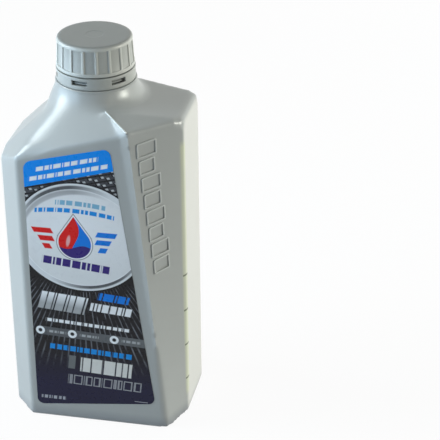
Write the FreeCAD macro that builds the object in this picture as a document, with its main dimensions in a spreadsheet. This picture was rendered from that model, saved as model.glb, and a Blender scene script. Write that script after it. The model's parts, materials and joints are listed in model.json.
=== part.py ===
"""One-litre motor oil bottle: a blow-moulded body with a slanted grip side, a ribbed screw cap with its
sealing liner, a tamper band, a front and a back label, and the oil inside. Millimetres, +Z up.
The origin is on the table, under the middle of the body; the front label faces -Y."""
import FreeCAD, Part
import math
import os
import Sketcher
from FreeCAD import Placement, Rotation, Vector

doc = FreeCAD.newDocument("motor_oil_bottle")

# Driving dimensions: alias, millimetres or degrees unless the note says otherwise, note
SIZES = [
    ("body_width", 97.0, "left side face to right side face"),
    ("body_depth", 73.2, "front label panel to back label panel"),
    ("left_chamfer_x", 12.5, "left corner chamfer, measured along the front"),
    ("left_chamfer_y", 13.9, "left corner chamfer, measured along the side"),
    ("grip_chamfer_x", 7.5, "slanted grip face at the table, measured along the front"),
    ("grip_chamfer_y", 20.6, "slanted grip face, measured along the side"),
    ("grip_chamfer_back", 17.8, "the same face at the back, measured along the side"),
    ("crease_lean", 5.4, "degrees that the grip's front crease leans to the left"),
    ("ridge_foot", 0.4, "width of the crease's raised lip at the table"),
    ("ridge_spread", 0.0235, "how much wider the lip gets for each mm of height"),
    ("ridge_rise", 0.26, "how far the lip stands out, as a share of its width"),
    ("right_side_height", 177.3, "top of the right side face"),
    ("roof_fall", 9.1, "degrees that the roof beside the neck falls to the right"),
    ("left_drop", 26.3, "left side's top corner below the right side's"),
    ("left_bulge", 3.0, "middle of the left side's top edge above its corners"),
    ("panel_corner_rise", 6.8, "front panel's left top corner above the left side's"),
    ("panel_slope", 16.5, "degrees that the front panel's top edge rises to the right"),
    ("peak_drop", 0.5, "grip crease's top below the right side face's top"),
    ("ridge_point_x", 11.8, "where the raised lip runs out on the shoulder, from the neck axis"),
    ("left_shoulder_slope", 43.8, "degrees of the shoulder beside the left top edge"),
    ("roof_spread_back", 2.0, "how much wider the roof is at the neck than at the right, at the back"),
    ("back_drop", 8.0, "grip crease's top at the back below the front's"),
    ("wall", 1.3, "blown wall"),
    ("floor_wall", 1.8, "floor and shoulder under the neck"),
    ("push_up", 3.0, "height of the hollow under the floor"),
    ("foot_ring", 8.0, "width of the flat ring that the bottle stands on"),
    ("corner_radius", 2.5, "rounding of the upright corners on the left"),
    ("foot_rounding", 2.0, "rounding of the edge round the foot"),
    ("neck_offset", -1.3, "neck axis from the middle of the body"),
    ("collar_rise", 13.4, "top of the neck collar above the right side face's top"),
    ("collar_stand", 0.7, "neck collar beyond the tamper band"),
    ("collar_lip", 0.5, "neck collar beyond the cone under it"),
    ("collar_thickness", 1.6, "neck collar"),
    ("shoulder_below_collar", 3.9, "front shoulder under the collar's top, in front of the neck"),
    ("shoulder_before_collar", 0.3, "where that is, in front of the collar"),
    ("skirt_spread", 3.7, "foot of the cone that blends the neck into the shoulder, beyond the collar"),
    ("skirt_height", 21.0, "that cone's height"),
    ("neck_radius", 16.9, "outside of the neck between its threads"),
    ("neck_wall", 1.6, "neck"),
    ("finish_height", 20.7, "collar's top to the neck's rim"),
    ("thread_depth", 1.4, "how far the neck thread stands out"),
    ("thread_pitch", 4.2, "both threads"),
    ("thread_turns", 1.25, "turns of each thread"),
    ("thread_start", 10.3, "first point of the neck thread above the collar"),
    ("thread_root", 1.9, "thread width at its root"),
    ("thread_crest", 0.9, "thread width at its crest"),
    ("thread_gap", 0.3, "clearance between crest and wall"),
    ("thread_bite", 0.4, "how far a thread's root goes into its wall, so that it joins all along"),
    ("bead_stand", 1.9, "how far the neck's retaining bead stands out"),
    ("bead_start", 2.5, "underside of that bead above the collar"),
    ("bead_height", 2.0, "that bead"),
    ("bead_face", 0.7, "upright part of that bead, under its slope"),
    ("band_start", 0.3, "tamper band above the collar"),
    ("band_height", 6.3, "tamper band"),
    ("band_gap", 0.4, "tamper band's bore outside the bead"),
    ("band_wall", 1.4, "tamper band"),
    ("band_hook", 1.6, "height of the lip that hooks under the bead"),
    ("hook_gap", 0.7, "lip's bore outside the neck"),
    ("window_start", 2.1, "tamper band's windows above its lower edge"),
    ("window_height", 2.6, "those windows"),
    ("window_width", 8.6, "those windows"),
    ("window_count", 6, "those windows, number"),
    ("band_turned", -14.0, "degrees from the front to the first window, to the right"),
    ("cap_lift", 0.5, "slit between the tamper band and the cap"),
    ("cap_foot_wall", 1.8, "cap's wall at its lower edge"),
    ("cap_head_wall", 1.0, "cap's wall just below its rounded rim"),
    ("cap_ceiling", 1.5, "thickness of the cap's top"),
    ("cap_rim", 1.2, "rounding of the cap's top rim"),
    ("cap_plain_foot", 2.0, "plain ring below the flutes"),
    ("cap_plain_head", 2.2, "plain ring above the flutes, rounding included"),
    ("flute_depth", 0.5, "flutes"),
    ("flute_share", 0.84, "share of the pitch that each flute takes"),
    ("flute_count", 18, "flutes and ribs, number"),
    ("cap_turned", 12.7, "degrees from the front to the first rib, to the right"),
    ("liner_thickness", 1.0, "sealing liner"),
    ("liner_gap", 0.35, "liner's edge inside the cap's bore"),
    ("label_film", 0.15, "label"),
    ("label_margin_left", 3.6, "front label from the panel's left edge"),
    ("label_margin_top", 3.2, "front label below the panel's top edge, at its left"),
    ("label_top_fall", 2.5, "degrees less than the panel's edge that the label's top rises"),
    ("label_lean", 0.6, "front label's upper left corner to the right of its lower left one"),
    ("label_margin_right", 5.4, "front label from the crease, at its top"),
    ("label_foot_right", 5.8, "front label from the crease, at its foot"),
    ("label_foot", 7.4, "label's lower left corner above the table"),
    ("label_foot_rise", 7.8, "label's lower right corner above its lower left one"),
    ("label_corner", 4.0, "label corners"),
    ("oil_drop", 11.5, "surface of the oil below the right side face's top"),
    ("oil_gap", 0.05, "oil inside the wall"),
]

sheet = doc.addObject("Spreadsheet::Sheet", "Sizes")
for row, (alias, size, note) in enumerate(SIZES, start=1):
    sheet.set(f"A{row}", alias)
    sheet.set(f"B{row}", str(size))
    sheet.set(f"C{row}", note)
    sheet.setAlias(f"B{row}", alias)
doc.recompute()


def number(expression):
    """The value that an expression on the sheet's sizes has now."""
    found = sheet.evalExpression(str(expression))
    return float(getattr(found, "Value", found))


def size(alias):
    """A size as it stands in the sheet."""
    return float(sheet.get(alias))


# Names for sizes on the neck that several pieces share
BORE = "Sizes.neck_radius - Sizes.neck_wall"
THREAD_CREST = "Sizes.neck_radius + Sizes.thread_depth"
CAP_BORE = "Sizes.neck_radius + Sizes.thread_depth + Sizes.thread_gap"
BEAD = "Sizes.neck_radius + Sizes.bead_stand"
BEAD_TOP = "Sizes.bead_start + Sizes.bead_height"
BAND_BORE = "Sizes.neck_radius + Sizes.bead_stand + Sizes.band_gap"
BAND_RADIUS = BAND_BORE + " + Sizes.band_wall"
COLLAR_RADIUS = BAND_RADIUS + " + Sizes.collar_stand"
SKIRT_RADIUS = COLLAR_RADIUS + " + Sizes.skirt_spread"
CAP_FOOT_RADIUS = CAP_BORE + " + Sizes.cap_foot_wall"
CAP_HEAD_RADIUS = CAP_BORE + " + Sizes.cap_head_wall"
BAND_TOP = "Sizes.band_start + Sizes.band_height"
CAP_FOOT = BAND_TOP + " + Sizes.cap_lift"
LINER_TOP = "Sizes.finish_height + Sizes.liner_thickness"
CAP_TOP = LINER_TOP + " + Sizes.cap_ceiling"

# A quarter round drawn as two slopes passes this share of its radius from the corner
EASED = 1 - math.sqrt(0.5)
# How far a cutting outline passes the wall that it cuts
OVERCUT = 1
# Rounds after which a point that depends on its own height has settled
SETTLING_ROUNDS = 20
# The inside's foot keeps at least this rounding
LEAST_ROUNDING = 0.5

# The blown body's form: upright faces from two plan outlines, then a shoulder of flat facets
TALL = size("right_side_height") + size("collar_rise")
HALF_WIDTH = size("body_width") / 2
HALF_DEPTH = size("body_depth") / 2
NECK_X = size("neck_offset")


def crease(height):
    """The grip's front crease at a height: its x, and the width of its raised lip."""
    lean = math.tan(math.radians(size("crease_lean")))
    return HALF_WIDTH - size("grip_chamfer_x") - lean * height, size("ridge_foot") + size("ridge_spread") * height


def plan(height, margin=0, lip=0):
    """The outline at a height moved inwards by a margin, from the left side's front corner, anticlockwise."""
    left_front = -HALF_WIDTH + size("left_chamfer_x")
    left_side = HALF_DEPTH - size("left_chamfer_y")
    grip = crease(height)[0]
    corners = inset([
        (-HALF_WIDTH, -left_side),
        (left_front, -HALF_DEPTH),
        (grip, -HALF_DEPTH),
        (HALF_WIDTH, -HALF_DEPTH + size("grip_chamfer_y")),
        (HALF_WIDTH, HALF_DEPTH - size("grip_chamfer_back")),
        (grip, HALF_DEPTH),
        (left_front, HALF_DEPTH),
        (-HALF_WIDTH, left_side),
    ], margin)
    if lip:
        x, y = corners[2]
        corners[2:3] = [(x - lip, y), (x, y - lip * size("ridge_rise"))]
    return corners


def inset(outline, margin):
    """The outline moved inwards by a margin."""
    moved = []
    for before, corner, after in zip(outline[-1:] + outline[:-1], outline, outline[1:] + outline[:1]):
        sides = []
        for start, end in ((before, corner), (corner, after)):
            along = Vector(end[0] - start[0], end[1] - start[1], 0).normalize()
            sides.append((along, Vector(-along.y, along.x, 0)))
        (first, first_in), (second, second_in) = sides
        # Both moved sides pass through the new corner
        turn = first.x * second.y - first.y * second.x
        if abs(turn) < 1e-6:
            shift = first_in * margin
        else:
            gap = (second_in - first_in) * margin
            shift = first_in * margin + first * ((gap.x * second.y - gap.y * second.x) / turn)
        moved.append((corner[0] + shift.x, corner[1] + shift.y))
    return moved


def ring(outline, height):
    """A closed wire of an outline at a height."""
    points = [Vector(x, y, height) for x, y in outline]
    return Part.makePolygon(points + points[:1])


def beyond(point, outwards):
    """A block that fills the space on the outer side of a plane."""
    reach = 4 * TALL
    block = Part.makeBox(reach, reach, reach)
    block.translate(Vector(-reach / 2, -reach / 2, 0))
    block.Placement = Placement(point, Rotation(Vector(0, 0, 1), outwards)).multiply(block.Placement)
    return block


def facet(first, second, third):
    """The upward plane through three points: a point and its outward direction."""
    outwards = (second - first).cross(third - first).normalize()
    return first, outwards if outwards.z > 0 else outwards * -1


def sloped(point, degrees, to_the):
    """A plane through a point that falls to the left (-1) or to the right (1)."""
    angle = math.radians(degrees)
    return point, Vector(to_the * math.sin(angle), 0, math.cos(angle))


def shoulder_points():
    """The shoulder's corners: on the front unless their name says back."""
    left_front = -HALF_WIDTH + size("left_chamfer_x")
    left_side = HALF_DEPTH - size("left_chamfer_y")
    right_top = size("right_side_height")
    left_top = right_top - size("left_drop")
    panel_left = Vector(left_front, -HALF_DEPTH, left_top + size("panel_corner_rise"))
    # The lip's foot meets the panel's sloping top edge
    rise = math.tan(math.radians(size("panel_slope")))
    height = panel_left.z
    for _ in range(SETTLING_ROUNDS):
        grip, lip = crease(height)
        height = panel_left.z + rise * (grip - lip - left_front)
    panel_foot = Vector(grip - lip, -HALF_DEPTH, height)
    peak_height = right_top - size("peak_drop")
    grip, lip = crease(peak_height)
    before_collar = -number(COLLAR_RADIUS) - size("shoulder_before_collar")
    neck_front = Vector(NECK_X, before_collar, TALL - size("shoulder_below_collar"))
    # The lip runs out where the front shoulder meets the roof
    roof = math.tan(math.radians(size("roof_fall")))
    point, outwards = facet(panel_left, panel_foot, neck_front)
    end_x = NECK_X + size("ridge_point_x")
    end_height = right_top + roof * (HALF_WIDTH - end_x)
    along = outwards.x * (end_x - point.x) + outwards.z * (end_height - point.z)
    grip_back = HALF_DEPTH - size("grip_chamfer_back")
    return {
        "left_side": Vector(-HALF_WIDTH, -left_side, left_top),
        "left_middle": Vector(-HALF_WIDTH, 0, left_top + size("left_bulge")),
        "panel_left": panel_left,
        "panel_foot": panel_foot,
        "neck_front": neck_front,
        "peak": Vector(grip, -HALF_DEPTH - lip * size("ridge_rise"), peak_height),
        "grip_top": Vector(HALF_WIDTH, -HALF_DEPTH + size("grip_chamfer_y"), right_top),
        "ridge_end": Vector(end_x, point.y - along / outwards.y, end_height),
        "grip_top_back": Vector(HALF_WIDTH, grip_back, right_top),
        "roof_end_back": Vector(end_x, grip_back + size("roof_spread_back"), end_height),
        "peak_back": Vector(grip, HALF_DEPTH, peak_height - size("back_drop")),
    }


def mirrored(point):
    """A point on the front moved to the back."""
    return Vector(point.x, -point.y, point.z)


def shoulder_cuts(margin):
    """The blocks that the shoulder's facets, moved inwards by a margin, cut away."""
    at = shoulder_points()
    slope = math.radians(size("left_shoulder_slope"))
    uphill = Vector(math.cos(slope), 0, math.sin(slope)) * size("left_drop")

    def block(plane):
        point, outwards = plane
        return beyond(point - outwards * margin, outwards)

    panel = facet(at["panel_left"], at["panel_foot"], at["neck_front"])
    lip = facet(at["panel_foot"], at["peak"], at["ridge_end"])
    left = facet(at["panel_left"], at["left_side"], at["left_side"] + uphill)
    return [
        # Front shoulder and lip meet in a valley, so only what lies beyond both goes
        block(panel).common(block(lip)),
        block((mirrored(panel[0]), mirrored(panel[1]))),
        block(left),
        block((mirrored(left[0]), mirrored(left[1]))),
        block(sloped(at["left_middle"], size("left_shoulder_slope"), -1)),
        block(sloped(at["grip_top"], size("roof_fall"), 1)),
        block(facet(at["peak"], at["grip_top"], at["ridge_end"])),
        block(facet(at["peak_back"], at["grip_top_back"], at["roof_end_back"])),
    ]


def blown_form(margin, base, rounding, lip=False):
    """The body's closed form moved inwards by a margin, from a height up, with a rounded foot."""
    eased = rounding * EASED
    foot_lip = size("ridge_foot") if lip else 0
    wires = [
        ring(plan(base, margin + rounding, foot_lip), base),
        ring(plan(base, margin + eased, foot_lip), base + eased),
    ]
    for height in (base + rounding, TALL):
        wires.append(ring(plan(height, margin, crease(height)[1] if lip else 0), height))
    form = Part.makeLoft(wires, True, True)
    for block in shoulder_cuts(margin):
        form = form.cut(block)
    return form


def upright_corners(form):
    """The long upright edges at the left of a form."""
    found = []
    for edge in form.Edges:
        low, high = sorted((v.Point for v in edge.Vertexes), key=lambda p: p.z)
        upright = math.hypot(high.x - low.x, high.y - low.y) < 0.01
        if upright and edge.Length > TALL / 2 and low.x < 0:
            found.append(edge)
    return found


def neck_cone(foot_radius, head_radius, low, high):
    """A cone on the neck axis."""
    return Part.makeCone(foot_radius, head_radius, high - low, Vector(NECK_X, 0, low))


def blown_body():
    """The hollow body up to the collar's underside."""
    collar_foot = TALL - size("collar_thickness")
    skirt_foot = collar_foot - size("skirt_height")
    outer = blown_form(0, 0, size("foot_rounding"), lip=True)
    outer = outer.makeFillet(size("corner_radius"), upright_corners(outer))
    skirt = number(SKIRT_RADIUS)
    outer = outer.fuse(neck_cone(skirt, number(COLLAR_RADIUS) - size("collar_lip"), skirt_foot, collar_foot))
    bore = number(BORE)
    throat = neck_cone(skirt - size("floor_wall"), bore, skirt_foot, collar_foot - size("floor_wall"))
    well = Part.makeCylinder(bore, TALL - skirt_foot, Vector(NECK_X, 0, skirt_foot))
    return outer.cut(under_hollow(0)).cut(inside(0)).cut(throat).cut(well)


def under_hollow(cover):
    """The hollow under the floor, with a cover of a given thickness over and around it."""
    outline = plan(0, size("foot_ring") - cover)
    return Part.Face(ring(outline, 0)).extrude(Vector(0, 0, size("push_up") + cover))


def inside(gap):
    """The cavity, with a gap inside its wall and floor."""
    base = size("floor_wall") + gap
    rounding = max(size("foot_rounding") - size("wall"), LEAST_ROUNDING)
    return blown_form(size("wall") + gap, base, rounding).cut(under_hollow(size("floor_wall") + gap))


body_shell = doc.addObject("Part::Feature", "blown_body")
body_shell.Shape = blown_body()


# Turned pieces on the neck axis: each body's own zero is the collar's top
def turned_body(name, turned="0"):
    """A body on the neck axis, with its zero at the collar's top, turned by an angle."""
    body = doc.addObject("PartDesign::Body", name)
    body.Label = name
    body.setExpression(".Placement.Rotation.Angle", turned)
    body.setExpression(".Placement.Base.x", "Sizes.neck_offset")
    body.setExpression(".Placement.Base.z", "Sizes.right_side_height + Sizes.collar_rise")
    return body


def origin_feature(body, role):
    """One of a body's own origin planes or axes."""
    return next(feature for feature in body.Origin.OriginFeatures if feature.Role == role)


def sketch_on(body, name, plane, lift="0"):
    """A sketch on one of the body's origin planes, lifted off it by an expression."""
    sketch = body.newObject("Sketcher::SketchObject", name)
    sketch.AttachmentSupport = [(origin_feature(body, plane), "")]
    sketch.MapMode = "FlatFace"
    sketch.setExpression(".AttachmentOffset.Base.z", lift)
    return sketch


def outline(sketch, corners):
    """Straight sides through corners; each corner is held by two dimensions bound to the sheet."""
    places = [Vector(number(x), number(y), 0) for x, y in corners]
    for start, end in zip(places, places[1:] + places[:1]):
        sketch.addGeometry(Part.LineSegment(start, end), False)
    for side in range(len(corners)):
        sketch.addConstraint(Sketcher.Constraint("Coincident", side, 2, (side + 1) % len(corners), 1))
    for side, expressions in enumerate(corners):
        for kind, expression in zip(("DistanceX", "DistanceY"), expressions):
            dimension = Sketcher.Constraint(kind, -1, 1, side, 1, number(expression))
            index = sketch.addConstraint(dimension)
            sketch.setExpression(f"Constraints[{index}]", expression)
    return sketch


def revolve(body, corners):
    """A full turn of an outline of radius and height about the neck axis."""
    sketch = outline(sketch_on(body, body.Name + "_profile", "XZ_Plane"), corners)
    turn = body.newObject("PartDesign::Revolution", body.Name + "_turned")
    turn.Profile = sketch
    turn.ReferenceAxis = (sketch, ["V_Axis"])
    turn.Angle = 360
    return turn


def thread(body, root, crest, start):
    """A right-hand thread from a root radius to a crest radius, first centred at a height."""
    half_root, half_crest = "Sizes.thread_root / 2", "Sizes.thread_crest / 2"
    corners = [
        (root, f"{start} - {half_root}"),
        (crest, f"{start} - {half_crest}"),
        (crest, f"{start} + {half_crest}"),
        (root, f"{start} + {half_root}"),
    ]
    sketch = outline(sketch_on(body, body.Name + "_thread_profile", "XZ_Plane"), corners)
    helix = body.newObject("PartDesign::AdditiveHelix", body.Name + "_thread")
    helix.Profile = sketch
    helix.ReferenceAxis = (sketch, ["V_Axis"])
    helix.Mode = 1
    helix.setExpression("Pitch", "Sizes.thread_pitch")
    helix.setExpression("Turns", "Sizes.thread_turns")
    return helix


def repeat_round(body, feature, count):
    """Copies of a feature all round the neck axis."""
    pattern = body.newObject("PartDesign::PolarPattern", feature.Name + "_round")
    pattern.Originals = [feature]
    pattern.Axis = (origin_feature(body, "Z_Axis"), [""])
    pattern.Angle = 360
    pattern.setExpression("Occurrences", count)
    body.Tip = pattern
    return pattern


def make_neck():
    """The moulded neck: collar, retaining bead, thread and rim."""
    body = turned_body("neck_finish")
    revolve(body, [
        (BORE, "-Sizes.collar_thickness - Sizes.floor_wall"),
        ("Sizes.neck_radius", "-Sizes.collar_thickness - Sizes.floor_wall"),
        ("Sizes.neck_radius", "-Sizes.collar_thickness"),
        (COLLAR_RADIUS, "-Sizes.collar_thickness"),
        (COLLAR_RADIUS, "0"),
        ("Sizes.neck_radius", "0"),
        ("Sizes.neck_radius", "Sizes.bead_start"),
        (BEAD, "Sizes.bead_start"),
        (BEAD, "Sizes.bead_start + Sizes.bead_face"),
        ("Sizes.neck_radius", BEAD_TOP),
        ("Sizes.neck_radius", "Sizes.finish_height"),
        (BORE, "Sizes.finish_height"),
    ])
    thread(body, "Sizes.neck_radius - Sizes.thread_bite", THREAD_CREST, "Sizes.thread_start")
    return body


def make_cap():
    """The screw cap: fluted wall, flat top, and a thread that runs between the neck's turns."""
    body = turned_body("screw_cap", "Sizes.cap_turned")
    revolve(body, [
        (CAP_BORE, CAP_FOOT),
        (CAP_FOOT_RADIUS, CAP_FOOT),
        (CAP_HEAD_RADIUS, f"{CAP_TOP} - Sizes.cap_rim"),
        (f"{CAP_HEAD_RADIUS} - Sizes.cap_rim * {EASED}", f"{CAP_TOP} - Sizes.cap_rim * {EASED}"),
        (f"{CAP_HEAD_RADIUS} - Sizes.cap_rim", CAP_TOP),
        ("0", CAP_TOP),
        ("0", LINER_TOP),
        (CAP_BORE, LINER_TOP),
    ])
    # The cap's turns lie midway between the neck's, whichever way the cap is turned at rest
    thread(body, f"{CAP_BORE} + Sizes.thread_bite", "Sizes.neck_radius + Sizes.thread_gap",
           "Sizes.thread_start - Sizes.thread_pitch * (1 / 2 - Sizes.cap_turned / 360)")
    # Each flute is a short turn of a shallow tapered groove
    low = f"{CAP_FOOT} + Sizes.cap_plain_foot"
    high = f"{CAP_TOP} - Sizes.cap_plain_head"
    flute_sketch = outline(sketch_on(body, "flute_profile", "XZ_Plane"), [
        (f"{CAP_FOOT_RADIUS} - Sizes.flute_depth", low),
        (f"{CAP_FOOT_RADIUS} + {OVERCUT}", low),
        (f"{CAP_FOOT_RADIUS} + {OVERCUT}", high),
        (f"{CAP_HEAD_RADIUS} - Sizes.flute_depth", high),
    ])
    flute = body.newObject("PartDesign::Groove", "flute")
    flute.Profile = flute_sketch
    flute.ReferenceAxis = (flute_sketch, ["V_Axis"])
    flute.Midplane = True
    flute.setExpression("Angle", "360 / Sizes.flute_count * Sizes.flute_share")
    repeat_round(body, flute, "Sizes.flute_count")
    return body


def make_liner():
    """The sealing disc between the neck's rim and the cap's top."""
    body = turned_body("cap_liner")
    edge = f"{CAP_BORE} - Sizes.liner_gap"
    revolve(body, [("0", "Sizes.finish_height"), (edge, "Sizes.finish_height"), (edge, LINER_TOP), ("0", LINER_TOP)])
    return body


def make_band():
    """The tamper band: a ring with a lip that hooks under the neck's bead, and windows."""
    body = turned_body("tamper_band", "Sizes.band_turned")
    hook = "Sizes.neck_radius + Sizes.hook_gap"
    hook_top = "Sizes.band_start + Sizes.band_hook"
    revolve(body, [
        (hook, "Sizes.band_start"),
        (BAND_RADIUS, "Sizes.band_start"),
        (BAND_RADIUS, BAND_TOP),
        (BAND_BORE, BAND_TOP),
        (BAND_BORE, hook_top),
        (hook, hook_top),
    ])
    low = "Sizes.band_start + Sizes.window_start"
    corners = [("-Sizes.window_width / 2", low), ("Sizes.window_width / 2", low),
               ("Sizes.window_width / 2", f"{low} + Sizes.window_height"),
               ("-Sizes.window_width / 2", f"{low} + Sizes.window_height")]
    window_sketch = outline(sketch_on(body, "window_outline", "XZ_Plane"), corners)
    window = body.newObject("PartDesign::Pocket", "window")
    window.Profile = window_sketch
    window.setExpression("Length", f"{BAND_RADIUS} + {OVERCUT}")
    repeat_round(body, window, "Sizes.window_count")
    return body


neck_finish = make_neck()
screw_cap = make_cap()
cap_liner = make_liner()
tamper_band = make_band()

bottle = doc.addObject("Part::Fuse", "bottle")
bottle.Base = body_shell
bottle.Tool = neck_finish


# Labels: thin films on the flat front and back panels
def rounded(corners, radius):
    """A closed wire through corners in the front plane, each rounded with an arc."""
    edges, starts = [], []
    for before, corner, after in zip(corners[-1:] + corners[:-1], corners, corners[1:] + corners[:1]):
        towards, away = (before - corner).normalize(), (after - corner).normalize()
        half = towards.getAngle(away) / 2
        reach = radius / math.tan(half)
        middle = (towards + away).normalize()
        through = corner + middle * (radius / math.sin(half) - radius)
        starts.append((corner + towards * reach, through, corner + away * reach))
    for (first, through, last), (following, _, _) in zip(starts, starts[1:] + starts[:1]):
        edges += [Part.Arc(first, through, last).toShape(), Part.makeLine(last, following)]
    return Part.Wire(edges)


def label_corners():
    """The front label's corners on the panel, clockwise from the lower left."""
    left = -HALF_WIDTH + size("left_chamfer_x") + size("label_margin_left")
    low = size("label_foot")
    low_right = low + size("label_foot_rise")
    panel_left = shoulder_points()["panel_left"]
    high = panel_left.z + math.tan(math.radians(size("panel_slope"))) * size("label_margin_left")
    high -= size("label_margin_top")
    rise = math.tan(math.radians(size("panel_slope") - size("label_top_fall")))
    high_right = high
    for _ in range(SETTLING_ROUNDS):
        grip, lip = crease(high_right)
        right = grip - lip - size("label_margin_right")
        high_right = high + rise * (right - left)
    places = [
        (left, low),
        (left + size("label_lean"), high),
        (right, high_right),
        (crease(low_right)[0] - size("label_foot_right"), low_right),
    ]
    return [Vector(x, -HALF_DEPTH, z) for x, z in places]


def label_film(outwards):
    """A label's film on the front (-1) or the back (1) panel."""
    front = Part.Face(rounded(label_corners(), size("label_corner")))
    film = front.extrude(Vector(0, -size("label_film"), 0))
    return film if outwards < 0 else film.mirror(Vector(0, 0, 0), Vector(0, 1, 0))


front_label = doc.addObject("Part::Feature", "front_label")
front_label.Shape = label_film(-1)
back_label = doc.addObject("Part::Feature", "back_label")
back_label.Shape = label_film(1)


# Oil: fills the cavity up to its level
def oil_body():
    """The oil, a little clear of the wall."""
    level = beyond(Vector(0, 0, size("right_side_height") - size("oil_drop")), Vector(0, 0, 1))
    return inside(size("oil_gap")).cut(level)


oil_fill = doc.addObject("Part::Feature", "oil_fill")
oil_fill.Shape = oil_body()

doc.recompute()

NODES = {
    "bottle": bottle,
    "screw_cap": screw_cap,
    "cap_liner": cap_liner,
    "tamper_band": tamper_band,
    "front_label": front_label,
    "back_label": back_label,
    "oil_fill": oil_fill,
}

for item in doc.Objects:
    if "Invalid" in item.State or "Error" in item.State:
        raise RuntimeError(f"{item.Name} failed: {item.State}")
for node, item in NODES.items():
    shape = item.Shape
    if shape.isNull() or not shape.isValid() or len(shape.Solids) != 1:
        raise RuntimeError(f"{node} is not one valid solid")
    item.Label = node

os.makedirs("parts", exist_ok=True)
for node, item in NODES.items():
    item.Shape.exportStep(f"parts/{node}.step")
    box = item.Shape.BoundBox
    print(f"{node}: {item.Shape.Volume / 1000:.2f} cm3, x {box.XMin:.2f} to {box.XMax:.2f}, "
          f"y {box.YMin:.2f} to {box.YMax:.2f}, z {box.ZMin:.2f} to {box.ZMax:.2f}")
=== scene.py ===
# %% [markdown]
# Motor oil bottle. The CAD frame already holds every piece at its true size and place. This notebook builds
# the looks around it: a blown silver body with soft shoulders, a ribbed cap, a tamper band and printed
# labels. All lengths below are millimetres until a piece is finished, because a bottle is designed in
# millimetres.

# %% Load the frame
import json
import math

import bmesh
import bpy
from mathutils import Matrix, Vector
from mathutils.geometry import intersect_point_line

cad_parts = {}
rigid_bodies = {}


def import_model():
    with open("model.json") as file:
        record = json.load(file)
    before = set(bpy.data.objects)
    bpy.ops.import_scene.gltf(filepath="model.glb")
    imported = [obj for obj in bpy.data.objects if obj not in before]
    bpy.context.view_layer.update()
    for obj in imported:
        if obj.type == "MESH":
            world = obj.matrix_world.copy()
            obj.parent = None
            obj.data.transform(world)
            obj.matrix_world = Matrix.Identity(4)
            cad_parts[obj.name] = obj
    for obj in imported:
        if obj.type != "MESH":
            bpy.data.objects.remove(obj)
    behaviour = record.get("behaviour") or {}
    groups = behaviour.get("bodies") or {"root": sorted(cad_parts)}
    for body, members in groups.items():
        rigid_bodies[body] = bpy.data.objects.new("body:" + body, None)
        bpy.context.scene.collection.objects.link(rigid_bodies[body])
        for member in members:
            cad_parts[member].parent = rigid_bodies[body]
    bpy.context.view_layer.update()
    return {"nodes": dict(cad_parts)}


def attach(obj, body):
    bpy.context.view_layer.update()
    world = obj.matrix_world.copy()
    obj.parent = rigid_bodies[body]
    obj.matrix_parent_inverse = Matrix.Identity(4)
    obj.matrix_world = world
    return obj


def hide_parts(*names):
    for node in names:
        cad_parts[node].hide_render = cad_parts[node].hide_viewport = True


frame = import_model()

MM = 0.001
print("CAD nodes:", sorted(frame["nodes"]))

# %% [markdown]
# A few sizes are wanted by several pieces: the body's flat faces, the neck's axis and the heights at which
# the neck's parts stack. They repeat the CAD model's own sizes, so each new piece lands where its node is.

# %% Shared sizes
HALF_WIDTH = 48.5
HALF_DEPTH = 36.6
NECK_X = -1.3
COLLAR_TOP = 190.7
COLLAR_RADIUS = 21.3
COLLAR_THICKNESS = 1.6
NECK_RADIUS = 16.9
BORE_RADIUS = 15.3
FINISH_HEIGHT = 20.7
THREAD_START = COLLAR_TOP + 10.3
PITCH = 4.2
THREAD_TURNS = 1.25
THREAD_STEPS = 120
LATHE_STEPS = 96
WALL = 1.3
LEFT_EDGE = -36.0
LEFT_CORNER = 22.7
RIGHT_CORNER_FRONT = -16.0
RIGHT_CORNER_BACK = 18.8
LIP_PROUD = 0.26


def crease_x(height):
    """The grip's front crease leans to the left as it rises."""
    return 41.0 - 0.09453 * height


def lip_width(height):
    """The crease carries a raised lip that widens as it rises."""
    return 0.4 + 0.0235 * height


def lip_tip(height):
    """The lip's sharp edge at a height."""
    return Vector((crease_x(height), -HALF_DEPTH - LIP_PROUD * lip_width(height), height))


print("crease at the table and at the shoulder:", crease_x(0), crease_x(177))

# %% [markdown]
# Every piece ends in the same way: its mesh is scaled to metres, its faces are shaded smooth except across
# real edges, and it is tied to a CAD body. One helper does that, so each piece's own cell is about its
# shape only.

# %% Helpers that finish a piece


def as_object(bm, name):
    """A mesh object in the scene, made from a bmesh that is then freed."""
    mesh = bpy.data.meshes.new(name)
    bm.to_mesh(mesh)
    bm.free()
    made = bpy.data.objects.new(name, mesh)
    bpy.context.scene.collection.objects.link(made)
    return made


def finished(bm, name, material, body, sharp=40):
    """Turns a bmesh in millimetres into a piece that rides on a CAD body."""
    bmesh.ops.scale(bm, vec=(MM, MM, MM), verts=bm.verts)
    piece = as_object(bm, name)
    piece.data.shade_smooth()
    piece.data.set_sharp_from_angle(angle=math.radians(sharp))
    piece.data.materials.append(material)
    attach(piece, body)
    print(name, "faces", len(piece.data.polygons))
    return piece


def with_modifiers(bm, *modifiers):
    """The bmesh after modifiers, each given as its type and its settings."""
    work = as_object(bm, "work")
    for kind, values in modifiers:
        modifier = work.modifiers.new(kind.lower(), kind)
        for key, value in values.items():
            setattr(modifier, key, value)
    evaluated = work.evaluated_get(bpy.context.evaluated_depsgraph_get())
    result = bmesh.new()
    result.from_mesh(evaluated.to_mesh())
    evaluated.to_mesh_clear()
    bpy.data.objects.remove(work)
    return result


def soft_edges(width, degrees):
    """A Bevel modifier that rounds the edges which turn by more than some degrees."""
    return ("BEVEL", {"width": width, "segments": 2, "limit_method": "ANGLE",
                      "angle_limit": math.radians(degrees), "profile": 0.5})


def new_verts(made):
    """The vertices among what an extrusion made."""
    return [item for item in made["geom"] if isinstance(item, bmesh.types.BMVert)]


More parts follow.
